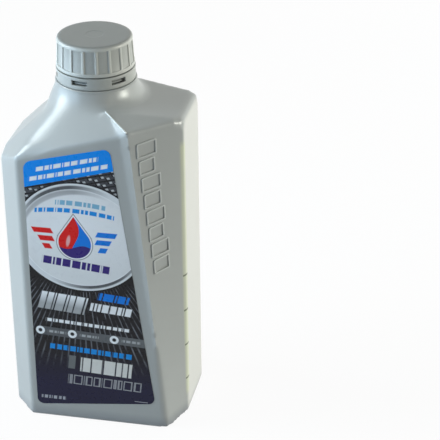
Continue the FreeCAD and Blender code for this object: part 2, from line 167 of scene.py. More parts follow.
def round_corners(bm, radius, segments):
    """Rounds the corners of a flat face."""
    bmesh.ops.bevel(bm, geom=bm.verts[:], offset=radius, segments=segments, profile=0.5,
                    affect="VERTICES", material=-1)


def join(*parts):
    """One bmesh that holds the faces of several."""
    whole = bmesh.new()
    for part in parts:
        mesh = bpy.data.meshes.new("part")
        part.to_mesh(mesh)
        part.free()
        whole.from_mesh(mesh)
        bpy.data.meshes.remove(mesh)
    return whole


def spun(profile, steps, closed=True):
    """A full turn of a profile of radius and height about the neck's axis."""
    bm = bmesh.new()
    verts = [bm.verts.new((NECK_X + r, 0, z)) for r, z in profile]
    for a, b in zip(verts, verts[1:]):
        bm.edges.new((a, b))
    if closed:
        bm.edges.new((verts[-1], verts[0]))
    bmesh.ops.spin(bm, geom=bm.verts[:] + bm.edges[:], cent=(NECK_X, 0, 0), axis=(0, 0, 1),
                   angle=2 * math.pi, steps=steps, use_merge=True)
    bmesh.ops.remove_doubles(bm, verts=bm.verts, dist=0.001)
    bmesh.ops.recalc_face_normals(bm, faces=bm.faces)
    return bm


# %% [markdown]
# Materials are procedural. A tiny class wraps a node's output, so a mask can be written as a sum: every
# operator adds one Math node. That keeps the label's artwork readable, and every pattern stays tied to the
# piece.

# %% Helpers for materials


def feed(place, value):
    """Links a wire into a socket, or sets the socket to a plain value."""
    if isinstance(value, Wire):
        value.tree.links.new(value.socket, place)
    else:
        place.default_value = value


class Wire:
    """A node output that can be added, multiplied and compared."""

    def __init__(self, tree, socket):
        self.tree = tree
        self.socket = socket

    def math(self, operation, *others, clamp=False):
        node = self.tree.nodes.new("ShaderNodeMath")
        node.operation = operation
        node.use_clamp = clamp
        for place, value in zip(node.inputs, (self, *others)):
            feed(place, value)
        return Wire(self.tree, node.outputs[0])

    def __add__(self, other):
        return self.math("ADD", other)

    def __sub__(self, other):
        return self.math("SUBTRACT", other)

    def __mul__(self, other):
        return self.math("MULTIPLY", other)

    def __truediv__(self, other):
        return self.math("DIVIDE", other)

    def least(self, other):
        return self.math("MINIMUM", other)

    def most(self, other):
        return self.math("MAXIMUM", other)

    def size(self):
        return self.math("ABSOLUTE")

    def clamped(self):
        """The value held between 0 and 1."""
        return self.math("ADD", 0.0, clamp=True)

    def inside(self, soft=0.12):
        """1 where a distance is below nought, 0 where it is above, with a soft edge in millimetres."""
        return (self * (-1 / soft) + 0.5).clamped()

    def ping(self, period):
        """The distance to the nearest multiple of a period."""
        return self.math("PINGPONG", period / 2)


def length_of(across, along):
    """The length of a vector from its two parts."""
    return (across.math("POWER", 2.0) + along.math("POWER", 2.0)).math("SQRT")


def new_material(name):
    """A material with its Principled shader, and its node tree."""
    material = bpy.data.materials.new(name)
    material.use_nodes = True
    tree = material.node_tree
    return material, tree, tree.nodes["Principled BSDF"]


def place_in_mm(tree):
    """Object coordinates in millimetres, as three wires."""
    coordinates = tree.nodes.new("ShaderNodeTexCoord")
    scale = tree.nodes.new("ShaderNodeVectorMath")
    scale.operation = "SCALE"
    scale.inputs["Scale"].default_value = 1 / MM
    tree.links.new(coordinates.outputs["Object"], scale.inputs[0])
    split = tree.nodes.new("ShaderNodeSeparateXYZ")
    tree.links.new(scale.outputs[0], split.inputs[0])
    return scale.outputs[0], [Wire(tree, split.outputs[axis]) for axis in "XYZ"]


def noise(tree, vector, scale, detail=2.0, rough=0.5, stretch=(1, 1, 1)):
    """A noise texture on a vector, as a wire from 0 to 1."""
    mapping = tree.nodes.new("ShaderNodeMapping")
    mapping.inputs["Scale"].default_value = stretch
    tree.links.new(vector, mapping.inputs["Vector"])
    texture = tree.nodes.new("ShaderNodeTexNoise")
    texture.inputs["Scale"].default_value = scale
    texture.inputs["Detail"].default_value = detail
    texture.inputs["Roughness"].default_value = rough
    tree.links.new(mapping.outputs[0], texture.inputs["Vector"])
    return Wire(tree, texture.outputs[0])


def painted(tree, base, layers):
    """Colours laid over each other, each through its mask."""
    under = base
    for mask, colour in layers:
        mix = tree.nodes.new("ShaderNodeMix")
        mix.data_type = "RGBA"
        feed(mix.inputs["Factor"], mask)
        for key, value in (("A", under), ("B", colour)):
            place = [s for s in mix.inputs if s.name == key and s.type == "RGBA"][0]
            feed(place, value if isinstance(value, Wire) else (*value, 1))
        under = Wire(tree, [s for s in mix.outputs if s.type == "RGBA"][0])
    return under


def bumped(tree, shader, height, strength):
    """A bump of a tenth of a millimetre from a wire, on the shader's normal."""
    bump = tree.nodes.new("ShaderNodeBump")
    bump.inputs["Strength"].default_value = strength
    bump.inputs["Distance"].default_value = 0.1 * MM
    feed(bump.inputs["Height"], height)
    tree.links.new(bump.outputs[0], shader.inputs["Normal"])


def settings(shader, **values):
    """Wires or plain values for the shader's own sockets, with underscores for spaces."""
    for key, value in values.items():
        feed(shader.inputs[key.replace("_", " ")], value)


# %% [markdown]
# The body is blown from polyethylene with silver pigment. Its skin is satin, a little uneven from the mould's
# sandblast, and the pigment makes a fine sparkle. The narrow right face is painted paler, as painted light
# for the strong lamp on that side. Its front corner has a clear strip, through which the oil shows and which
# carries the level marks.

# %% Silver plastic of the body
SILVER = (0.360, 0.382, 0.370)
LIT_SIDE_PALE = (0.56, 0.57, 0.53)
VIEW_STRIP = (0.60, 0.64, 0.42)
MARK = (0.13, 0.15, 0.10)
FOOT_SHADE_AND_SCUFFS = (0.17, 0.19, 0.215)


def silver_plastic(name, tone=1.0):
    """The body's plastic. A tone above 1 paints it paler: wear and a painted highlight on the relief,
    a painted highlight alone on the lip's raised line.
    """
    material, tree, shader = new_material(name)
    vector, (x, y, z) = place_in_mm(tree)
    flow = noise(tree, vector, 0.035, 3.0, 0.55, (1, 1, 0.4))
    speck = noise(tree, vector, 3.2, 1.0)
    darker, lighter = (tuple(c * change * tone for c in SILVER) for change in (0.94, 1.05))
    base = painted(tree, darker, [(flow, lighter)])
    # The clear strip runs up the corner between the grip and the narrow side face
    corner = (y - RIGHT_CORNER_FRONT).size()
    on_side = (x * -1 + (HALF_WIDTH - 2.0)).inside(1.2)
    deep = noise(tree, vector, 0.05, 2.0, 0.5, (0.2, 0.2, 1)) * 0.5 + 0.3
    strip = (corner - 2.0).inside(1.4) * on_side * ((z - 88).size() - 76).inside(4) * deep
    marks = (z.ping(21.6) - 0.5).inside(0.4) * (corner - 2.0).inside(0.4) * on_side
    marks = marks * ((z - 54).size() - 40).inside(0.4)
    # The foot is painted darker towards its very edge: painted shade where the body curves under, mottled by
    # noise as light scuffs
    foot = (z - 4.5).inside(6.0) * (noise(tree, vector, 0.10, 3.0, 0.6, (0.3, 0.3, 1)) * 0.5 + 0.30)
    # The narrow right face is painted paler: painted light for the strong lamp on that side
    lit_side = on_side * (x * -1 + HALF_WIDTH - 0.4).inside(0.6) * (foot * -0.7 + 1)
    colour = painted(tree, base, [(foot, FOOT_SHADE_AND_SCUFFS), (lit_side, LIT_SIDE_PALE), (strip, VIEW_STRIP), (marks, MARK)])
    settings(shader, Base_Color=colour, Roughness=flow * 0.08 + speck * 0.06 + 0.27, Metallic=0.12, IOR=1.5)
    grain = noise(tree, vector, 0.9, 4.0, 0.6)
    bumped(tree, shader, grain * 0.6 + flow * 2.0, 0.10)
    return material


silver = silver_plastic("silver_plastic")
# The relief is painted paler: partly wear on its raised bars, partly a painted highlight on their rims
silver_worn_and_highlit = silver_plastic("silver_worn_and_highlit", 1.22)
# Painted highlight: the lip's raised line is painted much paler so that it reads as a bright edge
silver_painted_highlight = silver_plastic("silver_painted_highlight", 1.65)
print("silver plastic nodes:", len(silver.node_tree.nodes))

# %% [markdown]
# The blown body could be modelled as a cage under a subdivision surface, but its flat facets and their
# straight creases matter. So it starts as a lofted prism that planes cut into facets, as a mould maker
# would cut them. A voxel remesh then melts the neck's trumpet and the lip into one skin, and smoothing
# rounds every edge.

# %% Prism and the planes that cut it
SHOULDER = {
    "left_side": Vector((-HALF_WIDTH, -LEFT_CORNER, 151.0)),
    "left_middle": Vector((-HALF_WIDTH, 0, 154.0)),
    "panel_left": Vector((LEFT_EDGE, -HALF_DEPTH, 157.8)),
    "panel_foot": Vector((20.02, -HALF_DEPTH, 174.39)),
    "neck_front": Vector((NECK_X, -21.6, 186.8)),
    "peak": Vector((24.29, -37.78, 176.8)),
    "grip_top": Vector((HALF_WIDTH, RIGHT_CORNER_FRONT, 177.3)),
    "ridge_end": Vector((10.5, -27.14, 183.39)),
    "grip_top_back": Vector((HALF_WIDTH, RIGHT_CORNER_BACK, 177.3)),
    "roof_end_back": Vector((10.5, 20.8, 183.39)),
    "peak_back": Vector((24.29, HALF_DEPTH, 168.8)),
}
LEFT_SLOPE = math.radians(43.8)
ROOF_FALL = math.radians(9.1)
SLABS = 25


def plan(height):
    """The body's outline at a height, without its lip."""
    crease = crease_x(height)
    return [(-HALF_WIDTH, -LEFT_CORNER), (LEFT_EDGE, -HALF_DEPTH), (crease, -HALF_DEPTH),
            (HALF_WIDTH, RIGHT_CORNER_FRONT), (HALF_WIDTH, RIGHT_CORNER_BACK), (crease, HALF_DEPTH),
            (LEFT_EDGE, HALF_DEPTH), (-HALF_WIDTH, LEFT_CORNER)]


def lip_plan(height):
    """The outline of the lip and of the grip face behind it, with a back that stays inside the body."""
    crease, lip = crease_x(height), lip_width(height)
    inner = height / COLLAR_TOP
    return [(crease - lip, -HALF_DEPTH), tuple(lip_tip(height).xy), (HALF_WIDTH, RIGHT_CORNER_FRONT),
            (44.5 - 2 * inner, -13.5 + 12 * inner), (36.5 - 33 * inner, -32.0 + 18 * inner)]


def lofted(outline, top):
    """A closed prism between an outline at the table and the same outline higher up, in even slabs."""
    bm = bmesh.new()
    low, high = outline(0), outline(top)
    foot = bm.faces.new([bm.verts.new((x, y, 0)) for x, y in reversed(low)])
    grown = bmesh.ops.extrude_face_region(bm, geom=[foot], use_keep_orig=True)
    for vert in new_verts(grown):
        nearest = min(range(len(low)), key=lambda i: (Vector(low[i]) - vert.co.xy).length)
        vert.co = (*high[nearest], top)
    upright = [e for e in bm.edges if abs(e.verts[0].co.z - e.verts[1].co.z) > 1]
    bmesh.ops.subdivide_edges(bm, edges=upright, cuts=SLABS - 1, use_grid_fill=True)
    bmesh.ops.recalc_face_normals(bm, faces=bm.faces)
    return bm


def cut(bm, point, outwards):
    """Cuts away what lies beyond a plane, and closes the cut."""
    made = bmesh.ops.bisect_plane(bm, geom=bm.verts[:] + bm.edges[:] + bm.faces[:], plane_co=point,
                                  plane_no=outwards, dist=1e-5, clear_outer=True)
    edges = [e for e in made["geom_cut"] if isinstance(e, bmesh.types.BMEdge)]
    bmesh.ops.contextual_create(bm, geom=edges)


def through(*names, mirror=1):
    """The upward plane through three of the shoulder's corners, in front or mirrored to the back."""
    a, b, c = (Vector((SHOULDER[n].x, SHOULDER[n].y * mirror, SHOULDER[n].z)) for n in names)
    normal = (b - a).cross(c - a).normalized()
    return a, normal if normal.z > 0 else -normal


SHOULDER["uphill"] = SHOULDER["left_side"] + Vector((math.cos(LEFT_SLOPE), 0, math.sin(LEFT_SLOPE))) * 20
roof_planes = [
    (SHOULDER["grip_top"], Vector((math.sin(ROOF_FALL), 0, math.cos(ROOF_FALL)))),
    through("peak", "grip_top", "ridge_end"),
    through("peak_back", "grip_top_back", "roof_end_back"),
]
left_planes = [
    through("panel_left", "panel_foot", "neck_front"),
    through("panel_left", "panel_foot", "neck_front", mirror=-1),
    through("panel_left", "left_side", "uphill"),
    through("panel_left", "left_side", "uphill", mirror=-1),
    (SHOULDER["left_middle"], Vector((-math.sin(LEFT_SLOPE), 0, math.cos(LEFT_SLOPE)))),
]


def roofed(bm):
    """The cuts that the body and its lip share."""
    for plane in roof_planes:
        cut(bm, *plane)
    return bm


body = roofed(lofted(plan, COLLAR_TOP))
for plane in left_planes:
    cut(body, *plane)
print("faceted body:", len(body.faces), "faces")

# %% [markdown]
# The foot has a shallow hollow, so that the bottle stands on a ring. On the faceted body that is one inset
# of the floor and a push upwards. The lip is a second, thinner prism, cut by its own slanted plane.

# %% Foot hollow and lip
TABLE_RING = 8.0
HOLLOW_DEPTH = 3.0
floor = min(body.faces, key=lambda f: f.calc_center_median().z)
bmesh.ops.inset_region(body, faces=[floor], thickness=TABLE_RING, use_even_offset=True)
pushed = bmesh.ops.extrude_face_region(body, geom=[floor])
bmesh.ops.delete(body, geom=[floor], context="FACES")
bmesh.ops.translate(body, vec=(0, 0, HOLLOW_DEPTH), verts=new_verts(pushed))
bmesh.ops.recalc_face_normals(body, faces=body.faces)
lip = roofed(lofted(lip_plan, COLLAR_TOP))
cut(lip, *through("panel_foot", "peak", "ridge_end"))
print("lip:", len(lip.faces), "faces")

# %% [markdown]
# The neck grows out of the shoulder in a soft curve. A spun trumpet, pushed into the body, gives that curve,
# and the remesh joins it to the facets.

# %% Trumpet under the neck, and the melted skin
VOXEL = 1.0
trumpet = spun([(0, 150), (27, 150), (26.2, 176), (24.4, 181.5), (22.4, 185.5), (21.2, 188.5), (20.8, 191),
                (20.8, 200), (0, 200)], LATHE_STEPS, closed=False)
skin = with_modifiers(join(body, lip, trumpet),
                      ("REMESH", {"mode": "VOXEL", "voxel_size": VOXEL, "adaptivity": 0.0}))
print("remeshed skin:", len(skin.faces), "faces")

# %% [markdown]
# On this bottle some creases are tight and others melt away along their length. Rounds of averaging do that:
# the lip's edge gets one, the rest a few, the neck's root many, and along a softened crease the number grows.

# %% Soft creases


def smooth(bm, verts, rounds):
    """Rounds of averaging over some vertices."""
    for _ in range(rounds):
        bmesh.ops.smooth_vert(bm, verts=verts, factor=0.5,
                              use_axis_x=True, use_axis_y=True, use_axis_z=True)


def from_neck(co):
    """How far a point is from the neck's axis."""
    return math.hypot(co.x - NECK_X, co.y)


def off_line(co, a, b):
    """How far a point is from the line between two others, and the nearest point of that line."""
    nearest, part = intersect_point_line(co, a, b)
    nearest = a.lerp(b, min(1.0, max(0.0, part)))
    return (co - nearest).length, nearest


def mirrored(line):
    """The same line on the back of the bottle."""
    return [Vector((end.x, -end.y, end.z)) for end in line]


# The lip's edge is crisp above this height and fades to soft below it
CRISP_FROM = 48.0
CRISP_REACH = 3.0
NECK_REACH = 27.5
SHOULDER_FROM = 152.0
FIRST_REACH = 2.5
lip_foot = lip_tip(0)
crisp = [(lip_foot, SHOULDER["peak"]), (SHOULDER["peak"], SHOULDER["ridge_end"])]
crisp_zone = {v for v in skin.verts if v.co.x > 5 and v.co.y < -24 and v.co.z > CRISP_FROM
              and min(off_line(v.co, *line)[0] for line in crisp) < CRISP_REACH}
print("vertices near the lip's edge:", len(crisp_zone))
smooth(skin, skin.verts, 1)
smooth(skin, [v for v in skin.verts if v not in crisp_zone], 3)
near_neck = [v for v in skin.verts if 158 < v.co.z < 195 and from_neck(v.co) < NECK_REACH
             and v not in crisp_zone]
smooth(skin, near_neck, 30)
left_ridge = (SHOULDER["panel_left"], SHOULDER["neck_front"])
side_crease = (SHOULDER["left_side"],
               SHOULDER["left_side"] + (SHOULDER["uphill"] - SHOULDER["left_side"]) * 2.4)
roof_edge = (SHOULDER["grip_top"], SHOULDER["grip_top_back"])
lip_fade = (lip_foot.lerp(SHOULDER["peak"], 0.32), lip_foot)


def soften(line, reach, stages, rounds, above=SHOULDER_FROM):
    """Melts a crease little by little along its length: the reach grows, and so does the number of rounds."""
    start, end = line
    length = (end - start).length
    near = []
    for vert in skin.verts:
        away, nearest = off_line(vert.co, start, end)
        part = (nearest - start).length / length if stages > 1 else 1.0
        if away < FIRST_REACH + (reach - FIRST_REACH) * min(1.0, part * 1.7) and vert.co.z > above:
            near.append((vert, part))
    for stage in range(stages):
        smooth(skin, [vert for vert, part in near if part > 0.02 + 0.06 * stage], rounds)
    print("softened crease:", len(near), "vertices")


for crease in (left_ridge, mirrored(left_ridge)):
    soften(crease, 13.0, 8, 7)
for crease in (side_crease, mirrored(side_crease)):
    soften(crease, 12.0, 8, 6)
soften(roof_edge, 5.0, 1, 22)
for crease in (lip_fade, mirrored(lip_fade)):
    soften(crease, 4.2, 8, 1, above=-1.0)

# %% [markdown]
# The lip's upper edge is the one crisp line on this body. Averaging would round it, so the few vertices
# closest to it are set back onto it. Faces that this leaves without an area are dissolved.

# %% Crisp edge of the lip
CATCH = 0.55 * VOXEL
set_back = 0
for vert in crisp_zone:
    away, nearest = min((off_line(vert.co, *line) for line in crisp), key=lambda found: found[0])
    if away < CATCH:
        vert.co = nearest
        set_back += 1
bmesh.ops.dissolve_degenerate(skin, dist=0.02, edges=skin.edges)
print("vertices set back onto the edge:", set_back)

# %% [markdown]
# A remesh leaves flat faces very slightly uneven. The two label panels and the table ring must be true, so
# their vertices are set back onto their planes. Then the skin is cut off under the collar and hollowed.

# %% True panels, and the cavity
UNEVEN = 0.12
INSET = 2.4
CAVITY_FLOOR = 5.0
for vert in skin.verts:
    if abs(abs(vert.co.y) - HALF_DEPTH) < UNEVEN and abs(vert.normal.y) > 0.985:
        vert.co.y = math.copysign(HALF_DEPTH, vert.co.y)
    elif vert.co.z < UNEVEN:
        vert.co.z = 0
lowest = min(v.co.z for v in skin.verts)
print("lowest point of the skin:", round(lowest, 4))
cut(skin, Vector((0, 0, COLLAR_TOP - COLLAR_THICKNESS / 2)), Vector((0, 0, 1)))


def inner_plan(height):
    """The body's outline moved in by its wall, near enough for an inside that is never seen."""
    return [tuple(Vector(p) * (1 - WALL / Vector(p).length * 1.2)) for p in plan(height)]


cavity = lofted(inner_plan, COLLAR_TOP)
for point, outwards in roof_planes + left_planes:
    cut(cavity, point - outwards * INSET, outwards)
cut(cavity, Vector((0, 0, CAVITY_FLOOR)), Vector((0, 0, -1)))
bmesh.ops.recalc_face_normals(cavity, faces=cavity.faces)
well = spun([(0, 150), (22, 150), (22, 172), (BORE_RADIUS, 184), (BORE_RADIUS, 200), (0, 200)],
            LATHE_STEPS, closed=False)
hollow, throat = as_object(cavity, "cavity"), as_object(well, "throat")
skin = with_modifiers(skin, ("BOOLEAN", {"object": hollow, "solver": "EXACT"}),
                      ("BOOLEAN", {"object": throat, "solver": "EXACT"}))
for helper in (hollow, throat):
    bpy.data.objects.remove(helper)
bottle_skin = finished(skin, "bottle_skin", silver, "bottle_body", sharp=60)
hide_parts("bottle")

# %% [markdown]
# Where the lip runs up the shoulder, the mould leaves a fine raised line; its brightness is a painted
# highlight, from a paler tone of the plastic. A slim cone, laid along the edge and sunk into it, gives that
# line, and a small ball closes it at the corner.

# %% Raised line on the lip's upper edge
BALL = 0.54
LINE_TOP = 0.42


def lip_line():
    """A slim cone up the lip's edge, with a ball at its foot."""
    low, high = SHOULDER["peak"].lerp(SHOULDER["ridge_end"], 0.06), SHOULDER["ridge_end"]
    along = (high - low).normalized()
    sunk = Vector((-0.03, 0.14, -0.08))
    bm = bmesh.new()
    bmesh.ops.create_cone(bm, cap_ends=True, segments=16, radius1=BALL, radius2=LINE_TOP,
                          depth=(high - low).length)
    turn = along.to_track_quat("Z", "Y").to_matrix().to_4x4()
    bmesh.ops.transform(bm, matrix=Matrix.Translation(low.lerp(high, 0.5) + sunk) @ turn, verts=bm.verts)
    ball = bmesh.new()
    bmesh.ops.create_icosphere(ball, subdivisions=3, radius=BALL, matrix=Matrix.Translation(low + sunk))
    return join(bm, ball)


finished(lip_line(), "lip_edge", silver_painted_highlight, "bottle_body")

# %% [markdown]
# The neck is moulded, not blown, so it is crisp: a collar, a bead that keeps the tamper band on, and a
# thread. A lathe profile spun about the axis makes all but the thread. The thread is the same spin with a
# rise at each step, which turns a circle into a helix.

# %% Neck with its thread
HALF_ROOT = 0.95
HALF_CREST = 0.45


def helix(root, crest, start, first=0.0):
    """A thread: a small profile spun about the neck's axis while it climbs."""
    bm = bmesh.new()
    corners = [(root, -HALF_ROOT), (crest, -HALF_CREST), (crest, HALF_CREST), (root, HALF_ROOT)]
    verts = [bm.verts.new((NECK_X + r, 0, start + z)) for r, z in corners]
    for a, b in zip(verts, verts[1:] + verts[:1]):
        bm.edges.new((a, b))
    bmesh.ops.rotate(bm, cent=(NECK_X, 0, 0), matrix=Matrix.Rotation(first, 3, "Z"), verts=verts)
    bmesh.ops.spin(bm, geom=bm.verts[:] + bm.edges[:], cent=(NECK_X, 0, 0), axis=(0, 0, 1),
                   dvec=(0, 0, PITCH * THREAD_TURNS / THREAD_STEPS), angle=THREAD_TURNS * 2 * math.pi,
                   steps=THREAD_STEPS)
    bmesh.ops.holes_fill(bm, edges=[e for e in bm.edges if e.is_boundary], sides=4)
    bmesh.ops.recalc_face_normals(bm, faces=bm.faces)
    return bm


# The profile's heights are counted from the collar's top
neck_profile = [(radius, COLLAR_TOP + height) for radius, height in (
    (BORE_RADIUS, -COLLAR_THICKNESS), (COLLAR_RADIUS - 0.5, -COLLAR_THICKNESS),
    (COLLAR_RADIUS, 0.4 - COLLAR_THICKNESS), (COLLAR_RADIUS, -0.35), (COLLAR_RADIUS - 0.35, 0),
    (NECK_RADIUS, 0), (NECK_RADIUS, 2.5), (NECK_RADIUS + 1.7, 2.5), (NECK_RADIUS + 1.9, 2.7),
    (NECK_RADIUS + 1.9, 3.2), (NECK_RADIUS + 0.2, 4.5), (NECK_RADIUS, 4.8),
    (NECK_RADIUS, FINISH_HEIGHT - 0.3), (NECK_RADIUS - 0.3, FINISH_HEIGHT),
    (BORE_RADIUS + 0.3, FINISH_HEIGHT), (BORE_RADIUS, FINISH_HEIGHT - 0.3),
)]
neck = join(spun(neck_profile, LATHE_STEPS), helix(NECK_RADIUS - 0.3, NECK_RADIUS + 1.4, THREAD_START))
finished(neck, "neck_finish", silver, "bottle_body")

# %% [markdown]
# The cap is injection moulded. Its outside has eighteen wide panels sunk between narrow ribs, under a flat
# top with a rounded rim. Spinning the profile in ten steps for each rib and its panel gives faces to inset
# and push in, which is quicker and cleaner than cutting eighteen grooves.

# %% Screw cap
CAP_FOOT = 197.8
CAP_TOP = 213.9
CAP_CEILING = 212.4
CAP_BORE = 18.6
RIBS = 18
STEPS_A_RIB = 10
PANEL_DEPTH = 0.55
FIRST_RIB = math.radians(17.0)
CAP_THREAD_TURN = 12.7


def cap_radius(height):
    """The cap tapers a little towards its top."""
    return 20.4 - 0.8 * (height - CAP_FOOT) / (CAP_TOP - 1.2 - CAP_FOOT)


def turn_of(co):
    """The part of a full turn at which a point stands about the neck's axis."""
    return math.atan2(co.y, co.x - NECK_X) / (2 * math.pi)


def about_neck(bm, angle):
    """Turns a shape about the neck's axis."""
    bmesh.ops.rotate(bm, cent=(NECK_X, 0, 0), matrix=Matrix.Rotation(angle, 3, "Z"), verts=bm.verts)
    return bm


def make_cap_shape():
    low, high = CAP_FOOT + 2.0, CAP_TOP - 2.2
    profile = [
        (0, CAP_TOP - 0.1), (4.2, CAP_TOP - 0.1), (4.5, CAP_TOP - 0.1), (4.7, CAP_TOP), (5.0, CAP_TOP),
        (16.9, CAP_TOP), (17.4, CAP_TOP), (18.45, CAP_TOP - 0.12),
        (19.0, CAP_TOP - 0.4), (19.4, CAP_TOP - 0.85), (19.6, CAP_TOP - 1.4), (cap_radius(high), high),
        (cap_radius(low), low), (cap_radius(CAP_FOOT + 0.3), CAP_FOOT + 0.3), (20.1, CAP_FOOT),
        (CAP_BORE + 0.2, CAP_FOOT), (CAP_BORE, CAP_FOOT + 0.2), (CAP_BORE, CAP_CEILING), (0, CAP_CEILING),
    ]
    bm = spun(profile, RIBS * STEPS_A_RIB, closed=False)
    sunk = []
    for face in bm.faces:
        centre = face.calc_center_median()
        if low < centre.z < high and from_neck(centre) > 19:
            step = int(turn_of(centre) * RIBS * STEPS_A_RIB // 1) % STEPS_A_RIB
            if step > 1:
                sunk.append(face)
    bmesh.ops.inset_region(bm, faces=sunk, thickness=0.15, depth=-PANEL_DEPTH, use_even_offset=True)
    rib_edges = [e for e in bm.edges if abs(e.verts[0].co.z - e.verts[1].co.z) > 5
                 and e.calc_face_angle(0) > 0.5
                 and from_neck(e.verts[0].co) > cap_radius(e.verts[0].co.z) - 0.1]
    print("rib edges to round:", len(rib_edges))
    bmesh.ops.bevel(bm, geom=rib_edges, offset=0.34, segments=3, profile=0.5, affect="EDGES", material=-1)
    return about_neck(bm, -math.pi / 2 + FIRST_RIB - 2 * math.pi / (RIBS * STEPS_A_RIB))


cap_shape = make_cap_shape()
print("cap faces before its edges are rounded:", len(cap_shape.faces))

# %% [markdown]
# Moulded edges are never razor sharp, and a small bevel is what catches the light along each rib. The Bevel
# modifier rounds only edges that turn by more than thirty degrees, and is applied before the piece is
# finished.

# %% Cap plastic, bevels and inner thread
CAP_GREY = (0.40, 0.42, 0.395)
RIB_HIGHLIGHT = (0.53, 0.55, 0.51)
TOP_SHADE = (0.225, 0.24, 0.225)


def cap_plastic():
    material, tree, shader = new_material("cap_plastic")
    vector, (x, y, z) = place_in_mm(tree)
    cloud = noise(tree, vector, 0.12, 3.0, 0.5)
    fine = noise(tree, vector, 2.4, 2.0)
    dark = tuple(c * 0.93 for c in CAP_GREY)
    # The ribs and the rims are painted paler as a painted highlight, where their rounded edges catch the side
    # lamps; the top is painted darker as painted shade, since little light falls on it from above
    above_panels = length_of(x - NECK_X, y) * -1 + 20.15 - (z - CAP_FOOT) * 0.0537
    high = above_panels.inside(0.25) * (z * -1 + CAP_FOOT - 0.1).inside(0.1)
    # Painted shade: the flat top is darker than the sides
    top = (z * -1 + CAP_TOP - 0.35).inside(0.4)
    colour = painted(tree, dark, [(cloud, CAP_GREY), (high * 0.8, RIB_HIGHLIGHT), (top, TOP_SHADE)])
    rough = high * -0.06 + cloud * 0.10 + fine * 0.05 + 0.34
    settings(shader, Base_Color=colour, Roughness=rough, IOR=1.5, Specular_IOR_Level=0.5)
    bumped(tree, shader, fine, 0.08)
    return material


cap_grey = cap_plastic()
cap_shape = with_modifiers(cap_shape, soft_edges(0.14, 30))
# The cap's thread runs half a pitch below the neck's
cap_thread_start = THREAD_START - PITCH * (0.5 - CAP_THREAD_TURN / 360)
cap_thread = helix(CAP_BORE + 0.3, NECK_RADIUS + 0.3, cap_thread_start, first=math.radians(CAP_THREAD_TURN))
cap_shell = finished(join(cap_shape, cap_thread), "cap_shell", cap_grey, "cap_body", sharp=32)
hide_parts("screw_cap")

# %% [markdown]
# The tamper band is a thin ring with six windows and a lip that hooks under the neck's bead. Its inner and
# outer walls come from one spin; a window is made by removing faces from both and bridging the two
# outlines.

# %% Tamper band
BAND_FOOT = 191.0
BAND_TOP = 197.3
BAND_RADIUS = 20.6
BAND_BORE = 19.2
HOOK_BORE = 17.6
HOOK_THICKNESS = 1.6
WINDOWS = 6
BAND_STEPS = 120
WINDOW_STEPS = 8
BAND_TURNED = math.radians(-10)


def make_band_shape():
    low, high = BAND_FOOT + 2.1, BAND_FOOT + 4.7
    profile = [(HOOK_BORE, BAND_FOOT)]
    profile += [(BAND_RADIUS, height) for height in (BAND_FOOT, low, high, BAND_TOP)]
    profile += [(BAND_BORE, height) for height in (BAND_TOP, high, low, BAND_FOOT + HOOK_THICKNESS)]
    profile.append((HOOK_BORE, BAND_FOOT + HOOK_THICKNESS))
    bm = spun(profile, BAND_STEPS)
    apart = BAND_STEPS // WINDOWS
    opened = [[] for _ in range(WINDOWS)]
    for face in bm.faces:
        centre = face.calc_center_median()
        if low < centre.z < high:
            step = int(turn_of(centre) * BAND_STEPS // 1) % BAND_STEPS
            if step % apart < WINDOW_STEPS:
                opened[step // apart].append(face)
    bmesh.ops.delete(bm, geom=[f for faces in opened for f in faces], context="FACES")
    edge_rings = [[] for _ in range(WINDOWS)]
    for edge in bm.edges:
        if edge.is_boundary:
            centre = (edge.verts[0].co + edge.verts[1].co) / 2
            edge_rings[int((turn_of(centre) * WINDOWS + 0.3) // 1) % WINDOWS].append(edge)
    for ring in edge_rings:
        bmesh.ops.bridge_loops(bm, edges=ring)
    bmesh.ops.recalc_face_normals(bm, faces=bm.faces)
    return about_neck(bm, BAND_TURNED - math.pi / 2 - WINDOW_STEPS / 2 / BAND_STEPS * 2 * math.pi)


band_shape = with_modifiers(make_band_shape(), soft_edges(0.12, 30))
band_ring = finished(band_shape, "band_ring", cap_grey, "bottle_body", sharp=32)
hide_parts("tamper_band")

# %% [markdown]
# The liner is a disc of foam inside the cap. Its CAD shape is right, so the node stays and gets a foam of
# its own: pale, matt, with a fine closed-cell grain. The oil keeps its node too, as a clear amber liquid.

# %% Foam and oil


def liner_foam():
    material, tree, shader = new_material("liner_foam")
    vector, _ = place_in_mm(tree)
    cells = noise(tree, vector, 4.0, 2.0)
    colour = painted(tree, (0.78, 0.78, 0.75), [(cells, (0.88, 0.88, 0.86))])
    settings(shader, Base_Color=colour, Roughness=0.75)
    bumped(tree, shader, cells, 0.3)
    return material


def amber_oil():
    material, tree, shader = new_material("amber_oil")
    vector, _ = place_in_mm(tree)
    drift = noise(tree, vector, 0.02, 2.0)
    colour = painted(tree, (0.70, 0.47, 0.08), [(drift, (0.80, 0.58, 0.14))])
    settings(shader, Base_Color=colour, Roughness=0.03, IOR=1.47, Transmission_Weight=0.85)
    return material


for node, material in (("cap_liner", liner_foam()), ("oil_fill", amber_oil())):
    cad = frame["nodes"][node]
    cad.data.materials.clear()
    cad.data.materials.append(material)

# %% [markdown]
# The labels are glossy printed film. The outline follows the panel: its right edge leans with the crease
# and its corners are rounded. A flat face with its corners bevelled, then extruded by the film's thickness,
# is all that the shape needs. The artwork is in the material, drawn from distances in millimetres.

# %% Label outline
FILM = 0.15
LABEL_ROUNDING = 4.0
LABEL_CORNERS = [(-32.4, 7.4), (-31.8, 155.84), (14.47, 167.26), (34.46, 15.2)]


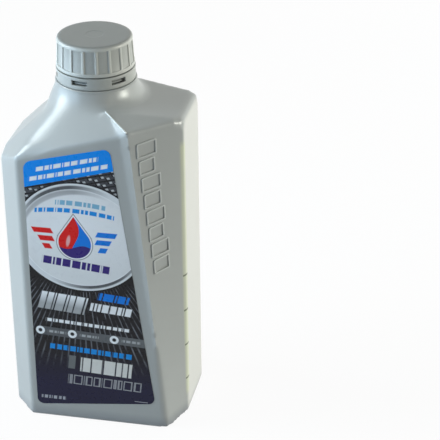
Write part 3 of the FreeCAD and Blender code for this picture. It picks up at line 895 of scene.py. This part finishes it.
def label_shape(side):
    """The film on the front (-1) or the back (1) panel."""
    bm = bmesh.new()
    bm.faces.new([bm.verts.new((x, HALF_DEPTH * side, z)) for x, z in LABEL_CORNERS])
    round_corners(bm, LABEL_ROUNDING, 8)
    raised = bmesh.ops.extrude_face_region(bm, geom=bm.faces[:], use_keep_orig=True)
    bmesh.ops.translate(bm, vec=(0, FILM * side, 0), verts=new_verts(raised))
    bmesh.ops.recalc_face_normals(bm, faces=bm.faces)
    return bm


# %% [markdown]
# The design is a generic one: a blue head with two rows of bars, a dark plate of slanted pads, a pale badge
# with a metal ring, an oil drop in three colours between speed lines, rows of bars, a grey band with three
# discs and a navy foot with fine rays. Each motif is a signed distance turned into a soft-edged mask, and
# the masks are painted one over another.

# %% Label artwork
BLUE = (0.0, 0.27, 0.86)
CYAN = (0.01, 0.27, 0.72)
SKY = (0.22, 0.46, 0.62)
RED = (0.74, 0.012, 0.010)
MID_BLUE = (0.004, 0.20, 0.72)
INDIGO = (0.035, 0.018, 0.17)
NAVY = (0.009, 0.009, 0.035)
CHARCOAL = (0.007, 0.007, 0.009)
ASH = (0.055, 0.058, 0.066)
WHITE = (0.88, 0.89, 0.89)
BADGE = (0.76, 0.77, 0.76)
STEEL_LIGHT = (0.74, 0.76, 0.76)
STEEL_DARK = (0.10, 0.105, 0.11)
RAY_GREY = (0.20, 0.21, 0.23)
GREY_BAR = (0.15, 0.16, 0.16)
PALE = (0.72, 0.71, 0.66)
GLINT = (0.9, 0.62, 0.60)
SMALL_GREY = (0.42, 0.43, 0.43)
SMALL_BLUISH = (0.40, 0.40, 0.43)
FRAME_GREY = (0.34, 0.34, 0.35)


def ellipse(x, z, cx, cz, rx, rz):
    """Distance from an ellipse's edge, near enough for a soft mask."""
    return (length_of((x - cx) / rx, (z - cz) / rz) - 1) * min(rx, rz)


def band_between(value, low, high):
    """Distance from a band between two values."""
    return (value - (low + high) / 2).size() - (high - low) / 2


def slanted_box(x, z, cx, cz, half_x, half_z, slant=0.0, fall=0.0):
    """Distance from a box whose sides lean and whose rows fall to the right."""
    across = x - cx - (z - cz) * slant
    along = z - cz + (x - cx) * fall
    return (across.size() - half_x).most(along.size() - half_z)


def bar_row(x, z, cx, cz, half, tall, start, fall, period=4.6, slant=0.12):
    """Distance from a row of short bars. Two sets of gaps, spaced differently, vary the bars' lengths."""
    row = slanted_box(x, z, cx, cz, half, tall, slant, fall)
    place = x - z * slant + start
    gap = place.ping(period) - period / 2 + 0.38
    rarer = (place * 0.62 + 1.7).ping(period) - period / 2 + 0.2
    return row.most(gap.most(rarer))


def label_print():
    material, tree, shader = new_material("label_print")
    vector, (x, y, z) = place_in_mm(tree)
    layers = [((z - 34).inside(22.0), NAVY)]

    def paint_row(tone, *sizes, height=z):
        """A row of bars in one tone, given as bar_row takes it."""
        layers.append((bar_row(x, height, *sizes).inside(0.3), tone))

    # Plate: rows of slanted pads on a dark field, each with a bright edge
    u = x + z * 0.55
    v = z - x * 0.26
    shift = (v / 3.6).math("FLOOR") * 2.9
    pad = ((u + shift).ping(7.4) - 3.0).most(v.ping(3.6) - 1.35)
    edge = ((u + shift + 2.6).ping(7.4) - 0.8).most(v.ping(3.6) - 1.1)
    upper = (z * -1 + 118).inside(1.0)
    layers += [(pad.inside(0.5) * upper, ASH), (edge.inside(0.4) * upper * 0.7, STEEL_LIGHT)]
    # Fine rays that spread from the badge over the lower field
    angle = (x + 3).math("ARCTAN2", z * -1 + 120)
    ray = (angle * 60).ping(2.6) - 0.25
    broken = noise(tree, vector, 0.25, 2.0, 0.6, (1, 1, 0.4))
    low_field = (z - 86).inside(6.0) * (z * -1 + 40).inside(16.0)
    layers.append((ray.inside(0.5) * low_field * ((broken - 0.38) * 4).clamped(), RAY_GREY))
    # Head with two rows of bars
    head = z * -1 + x * 0.278 + 150.4
    layers.append((head.inside(), BLUE))
    for cx, cz, half, start in ((-8.6, 156.6, 16.4, 0.0), (-8.0, 151.9, 20.8, 3.1)):
        paint_row(WHITE, cx, cz, half, 1.2, start, -0.262)
    # Badge with a metal ring
    outer = ellipse(x, z, -3.5, 114.4, 35.0, 31.6)
    inner = ellipse(x, z, -3.5, 114.2, 32.0, 28.0)
    turn = (x + 3.5).math("ARCTAN2", z - 114.4)
    shade = ((turn * 2.0 + 2.4).math("SINE") * 0.75 + 0.35).clamped()
    layers += [((outer - 1.0).inside(1.0), CHARCOAL), (outer.inside(), STEEL_LIGHT),
               (band_between(outer, -3.3, -1.2).inside(0.7) * shade, STEEL_DARK),
               ((inner - 0.4).inside(0.3), WHITE), (inner.inside(0.3), BADGE)]
    crescent = inner.most(ellipse(x, z, -1.5, 111.4, 33.5, 28.4) * -1)
    layers.append((crescent.inside(0.9) * (x - 4).inside(18.0), STEEL_DARK))
    layers.append((ellipse(x, z, -5.0, 122, 26, 16).inside(26.0) * inner.inside(), WHITE))
    # Two rows over the drop
    arch = z + (x + 6).math("POWER", 2.0) * 0.004
    paint_row(SKY, -2.4, 134.4, 13.4, 1.35, 1.0, 0.02, height=arch)
    paint_row(CYAN, -5.6, 130.0, 21.6, 1.25, 2.0, 0.02, height=arch)
    # Oil drop in three colours: a round belly and a tapering top
    cx, cz, r = -6.4, 110.8, 8.8
    belly = length_of(x - cx, z - cz) - r
    taper = ((x - cx).size() * 0.83 + (z - cz) * 0.56 - r).most(z * -1 + cz + 4.9)
    drop = belly.least(taper)
    wave = x - cx - ((z - cz) * 0.2).math("SINE") * 2.6
    low_wave = z - cz + 2.4 - ((x - cx) * 0.35).math("SINE") * 1.2
    glint = ellipse(x - z * 0.2, z, cx - 3.7 - cz * 0.2, cz + 1.2, 1.0, 3.2)
    # Speed lines beside the drop, red on its left and blue on its right
    for row, (near, far) in enumerate(((12.0, 22.6), (11.4, 19.4), (13.0, 17.2))):
        middle, half = (near + far) / 2, (far - near) / 2
        for side, tone in ((-1, RED), (1, MID_BLUE)):
            line = slanted_box(x, z, cx + side * middle, cz + 6.4 - row * 4.6, half, 1.5, 0.5 * side)
            layers.append((line.inside(0.3), tone))
    layers += [((drop - 1.1).inside(0.6), STEEL_DARK), ((drop - 0.75).inside(0.3), WHITE),
               (drop.inside(0.2), RED), (drop.most(wave * -1).inside(0.2), MID_BLUE),
               (drop.most(low_wave).inside(0.2), INDIGO), (glint.inside(0.5) * 0.7, GLINT)]
    # A row of navy blocks under it
    paint_row(INDIGO, -6.4, 98.2, 18.6, 2.3, 0.6, 0.10, 5.3, 0.16)
    # Slanted silver bars on the dark field, with a blue pair and a small row beside them
    silver_tone = painted(tree, (0.40, 0.41, 0.41), [((z * -1 + 74.0 - x * 0.08).inside(6.0), WHITE)])
    paint_row(silver_tone, -14.6, 74.0, 13.0, 5.4, 1.2, 0.08, 5.3, 0.30)
    paint_row(MID_BLUE, 13.4, 79.4, 8.6, 2.3, 0.4, 0.08, 6.4, 0.30)
    paint_row(WHITE, 11.6, 72.4, 11.4, 2.5, 0.9, 0.08, 4.3, 0.25)
    # Grey band with discs, a thin row above it
    paint_row(WHITE, -1.6, 61.6, 23.4, 1.0, 0.5, 0.05, 3.3)
    band = ((z + x * 0.042 - 54.4).size() - 2.6).most(x * -1 - 28)
    band_tone = painted(tree, STEEL_DARK, [((x * -1 + 16).inside(50.0), GREY_BAR)])
    layers.append((band.inside(), band_tone))
    for cx in (-28.2, -10.4, 12.8):
        tilt = cx * 0.042
        disc = length_of(x - cx, z + tilt - 54.4)
        beside = bar_row(x, z, cx + 9.4, 54.0 - tilt, 5.2, 0.7, cx, 0.04, 3.0)
        layers += [((disc - 2.5).inside(0.3), WHITE), ((disc - 1.1).inside(0.4), CHARCOAL),
                   (beside.inside(0.4), SMALL_GREY)]
    # Foot: a blue row, tall pale bars and a row of outlines
    paint_row(CYAN, -0.4, 45.0, 23.0, 1.6, 0.3, 0.05, 3.9)
    layers.append((bar_row(x, z, -11.4, 37.0, 1.9, 4.2, 3.0, 0.05, 90.0).inside(0.4), GREY_BAR))
    paint_row(PALE, 7.6, 35.4, 14.4, 4.5, 1.6, 0.05, 6.9)
    frames = bar_row(x, z, 6.4, 25.4, 20.6, 3.0, 0.4, 0.03, 5.6)
    layers.append((frames.most((frames + 0.6) * -1).inside(0.3), FRAME_GREY))
    paint_row(SMALL_BLUISH, -22.9, 12.8, 7.0, 1.0, 0.2, 0.0, 2.6)
    layers.append((slanted_box(x, z, 26.6, 15.6, 3.6, 0.2).inside(0.3), SMALL_BLUISH))
    colour = painted(tree, CHARCOAL, layers)
    cloud = noise(tree, vector, 0.3, 3.0)
    settings(shader, Base_Color=colour, Roughness=cloud * 0.08 + 0.24, IOR=1.5, Specular_IOR_Level=0.22)
    bumped(tree, shader, noise(tree, vector, 0.06, 1.0), 0.06)
    return material


printed = label_print()
print("label artwork nodes:", len(printed.node_tree.nodes))
for side, name, node in ((-1, "label_front", "front_label"), (1, "label_back", "back_label")):
    film = finished(label_shape(side), name, printed, "bottle_body")
    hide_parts(node)

# %% [markdown]
# The grip face carries a raised relief. Here it is a ladder of outlined bars, which follow the crease's
# lean. Each is a four-sided face, inset to a frame and raised, laid on the face with one matrix.

# %% Grip relief
RELIEF_RISE = 0.55
RELIEF_ROOT = 0.3
RELIEF_TOP = 166.0
RELIEF_STEP = 9.6
RELIEF_BARS = 8
BAR_WIDTHS = (11.6, 9.4, 11.6, 10.4)
BAR_HALF_HEIGHT = 4.1
BAR_SLANT = 1.0
BAR_LINE = 0.85
BAR_ROUNDING = 0.9
FIRST_START = 3.8
START_DRIFT = 0.2


def grip_frame(height):
    """A matrix on the grip face: x across it from the crease, y up along it, z out of it."""
    tip = lip_tip(height)
    across = (Vector((HALF_WIDTH, RIGHT_CORNER_FRONT, height)) - tip).normalized()
    out = across.cross(lip_tip(height + 1) - tip).normalized()
    up = out.cross(across)
    frame_matrix = Matrix((across, up, out)).transposed().to_4x4()
    frame_matrix.translation = tip
    return frame_matrix


def relief_bar(height, start, end):
    """One outlined bar across the grip face."""
    bm = bmesh.new()
    low, high = -BAR_HALF_HEIGHT, BAR_HALF_HEIGHT
    corners = [(start, low), (end, low + BAR_SLANT), (end, high + BAR_SLANT), (start, high)]
    bm.faces.new([bm.verts.new((x, y, -RELIEF_ROOT)) for x, y in corners])
    round_corners(bm, BAR_ROUNDING, 3)
    face = bm.faces[:][0]
    bmesh.ops.inset_region(bm, faces=[face], thickness=BAR_LINE, use_even_offset=True, use_boundary=True)
    bmesh.ops.delete(bm, geom=[face], context="FACES")
    raised = bmesh.ops.extrude_face_region(bm, geom=bm.faces[:], use_keep_orig=True)
    bmesh.ops.translate(bm, vec=(0, 0, RELIEF_RISE + RELIEF_ROOT), verts=new_verts(raised))
    bmesh.ops.recalc_face_normals(bm, faces=bm.faces)
    bmesh.ops.transform(bm, matrix=grip_frame(height), verts=bm.verts)
    return bm


bars = []
for index in range(RELIEF_BARS):
    start = FIRST_START + index * START_DRIFT
    bars.append(relief_bar(RELIEF_TOP - index * RELIEF_STEP, start, start + BAR_WIDTHS[index % 4]))
relief_shape = with_modifiers(join(*bars), soft_edges(0.22, 50))
bmesh.ops.dissolve_degenerate(relief_shape, dist=0.0002, edges=relief_shape.edges)
# The relief's paler tone is partly wear and partly a painted highlight on the raised rims
finished(relief_shape, "grip_relief", silver_worn_and_highlit, "bottle_body", sharp=50)

# %% [markdown]
# The photograph's camera is a little above the bottle and to its right. It was found by fitting the bottle's
# corners, and it is written here as a place, a turn, a pitch and a roll.

# %% Camera
CAMERA_TURN = math.radians(11.65)
CAMERA_PITCH = math.radians(27.98)
CAMERA_ROLL = math.radians(0.42)
CAMERA_PLACE = Vector((224.1, -778.5, 534.8)) * MM
SENSOR = 36.0
FOCAL_PIXELS = 1689.0
PICTURE_PIXELS = 440.0

flat = math.cos(CAMERA_PITCH)
forward = Vector((-math.sin(CAMERA_TURN) * flat, math.cos(CAMERA_TURN) * flat, -math.sin(CAMERA_PITCH)))
level = Vector((math.cos(CAMERA_TURN), math.sin(CAMERA_TURN), 0))
down = forward.cross(level)
right = level * math.cos(CAMERA_ROLL) + down * math.sin(CAMERA_ROLL)
below = down * math.cos(CAMERA_ROLL) - level * math.sin(CAMERA_ROLL)
camera_data = bpy.data.cameras.new("camera")
camera_data.sensor_width = SENSOR
camera_data.lens = SENSOR * FOCAL_PIXELS / PICTURE_PIXELS
camera = bpy.data.objects.new("camera", camera_data)
bpy.context.scene.collection.objects.link(camera)
camera_turned = Matrix((right, -below, -forward)).transposed().to_4x4()
camera.matrix_world = Matrix.Translation(CAMERA_PLACE) @ camera_turned
camera_data.clip_end = 20
bpy.context.scene.camera = camera
print("lens:", round(camera_data.lens, 1), "mm")

# %% [markdown]
# The studio is plain: a pale floor, a surround that is white to the camera and in reflections but lights
# the room only faintly, and large soft lamps. The left lamps are cool and the right one is a little warm,
# as the photograph's two sides are.

# %% Floor, surround and lamps
AMBIENT = 0.14
FLOOR_IN_LIGHT = (0.35, 0.35, 0.35)
FLOOR_SEEN = (0.8, 0.8, 0.8)
FLOOR_GLOW = 0.93


def camera_share(tree):
    """1 for rays that a viewer sees, straight, mirrored or through glass; 0 for light that fills the room."""
    path = tree.nodes.new("ShaderNodeLightPath")
    seen = Wire(tree, path.outputs["Is Camera Ray"])
    for name in ("Is Glossy Ray", "Is Transmission Ray"):
        seen = seen.most(Wire(tree, path.outputs[name]))
    return seen


def pale_floor():
    material, tree, shader = new_material("pale_floor")
    glow = tree.nodes.new("ShaderNodeEmission")
    glow.inputs["Strength"].default_value = 1.0
    mix = tree.nodes.new("ShaderNodeMixShader")
    seen = camera_share(tree)
    colour = painted(tree, FLOOR_IN_LIGHT, [(seen, FLOOR_SEEN)])
    settings(shader, Base_Color=colour, Roughness=0.9)
    feed(mix.inputs[0], seen * FLOOR_GLOW)
    tree.links.new(shader.outputs[0], mix.inputs[1])
    tree.links.new(glow.outputs[0], mix.inputs[2])
    tree.links.new(mix.outputs[0], tree.nodes["Material Output"].inputs["Surface"])
    return material


ground = bmesh.new()
bmesh.ops.create_circle(ground, cap_ends=True, radius=3.0, segments=64)
studio_floor = as_object(ground, "studio_floor")
studio_floor.data.materials.append(pale_floor())

world = bpy.data.worlds.new("studio")
world.use_nodes = True
bpy.context.scene.world = world
background = world.node_tree.nodes["Background"]
seen = camera_share(world.node_tree)
strength = seen * (1 - AMBIENT) + AMBIENT
feed(background.inputs["Strength"], strength)
background.inputs["Color"].default_value = (1, 1, 1, 1)

# Each lamp: the direction it shines from, its distance in metres, its size, its level and its colour
LAMPS = [
    ("left_near", (-0.93, -0.38, 0.06), 0.5, 0.7, 1.85, (0.54, 0.76, 1.0)),
    ("left_window", (-0.86, -0.12, 0.49), 1.2, 0.7, 0.85, (0.92, 0.98, 1.0)),
    ("front_fill", (0.30, -0.95, 0.12), 1.4, 0.9, 0.03, (0.97, 1.0, 1.0)),
    ("right_window", (0.98, 0.02, 0.20), 1.2, 0.36, 0.50, (1.0, 0.99, 0.90)),
    ("right_back", (0.63, 0.78, 0.02), 1.2, 1.4, 1.7, (0.98, 1.0, 0.98)),
]
# A lamp of this many watts at one metre lights a white card that faces it to full white
FULL_WHITE = math.pi ** 2
for name, direction, distance, width, amount, colour in LAMPS:
    lamp = bpy.data.lights.new(name, "AREA")
    lamp.shape = "SQUARE"
    lamp.size = width
    lamp.energy = amount * FULL_WHITE * distance ** 2
    lamp.color = colour
    holder = bpy.data.objects.new(name, lamp)
    bpy.context.scene.collection.objects.link(holder)
    away = Vector(direction).normalized()
    place = Vector((0, 0, 0.1)) + away * distance
    holder.matrix_world = Matrix.Translation(place) @ away.to_track_quat("Z", "Y").to_matrix().to_4x4()
    # The one behind stands for the glow of the backdrop, which has no bright outline to be mirrored
    holder.visible_glossy = name != "right_back"
    print(name, "watts:", round(lamp.energy, 1))
bpy.context.scene.view_settings.view_transform = "Standard"
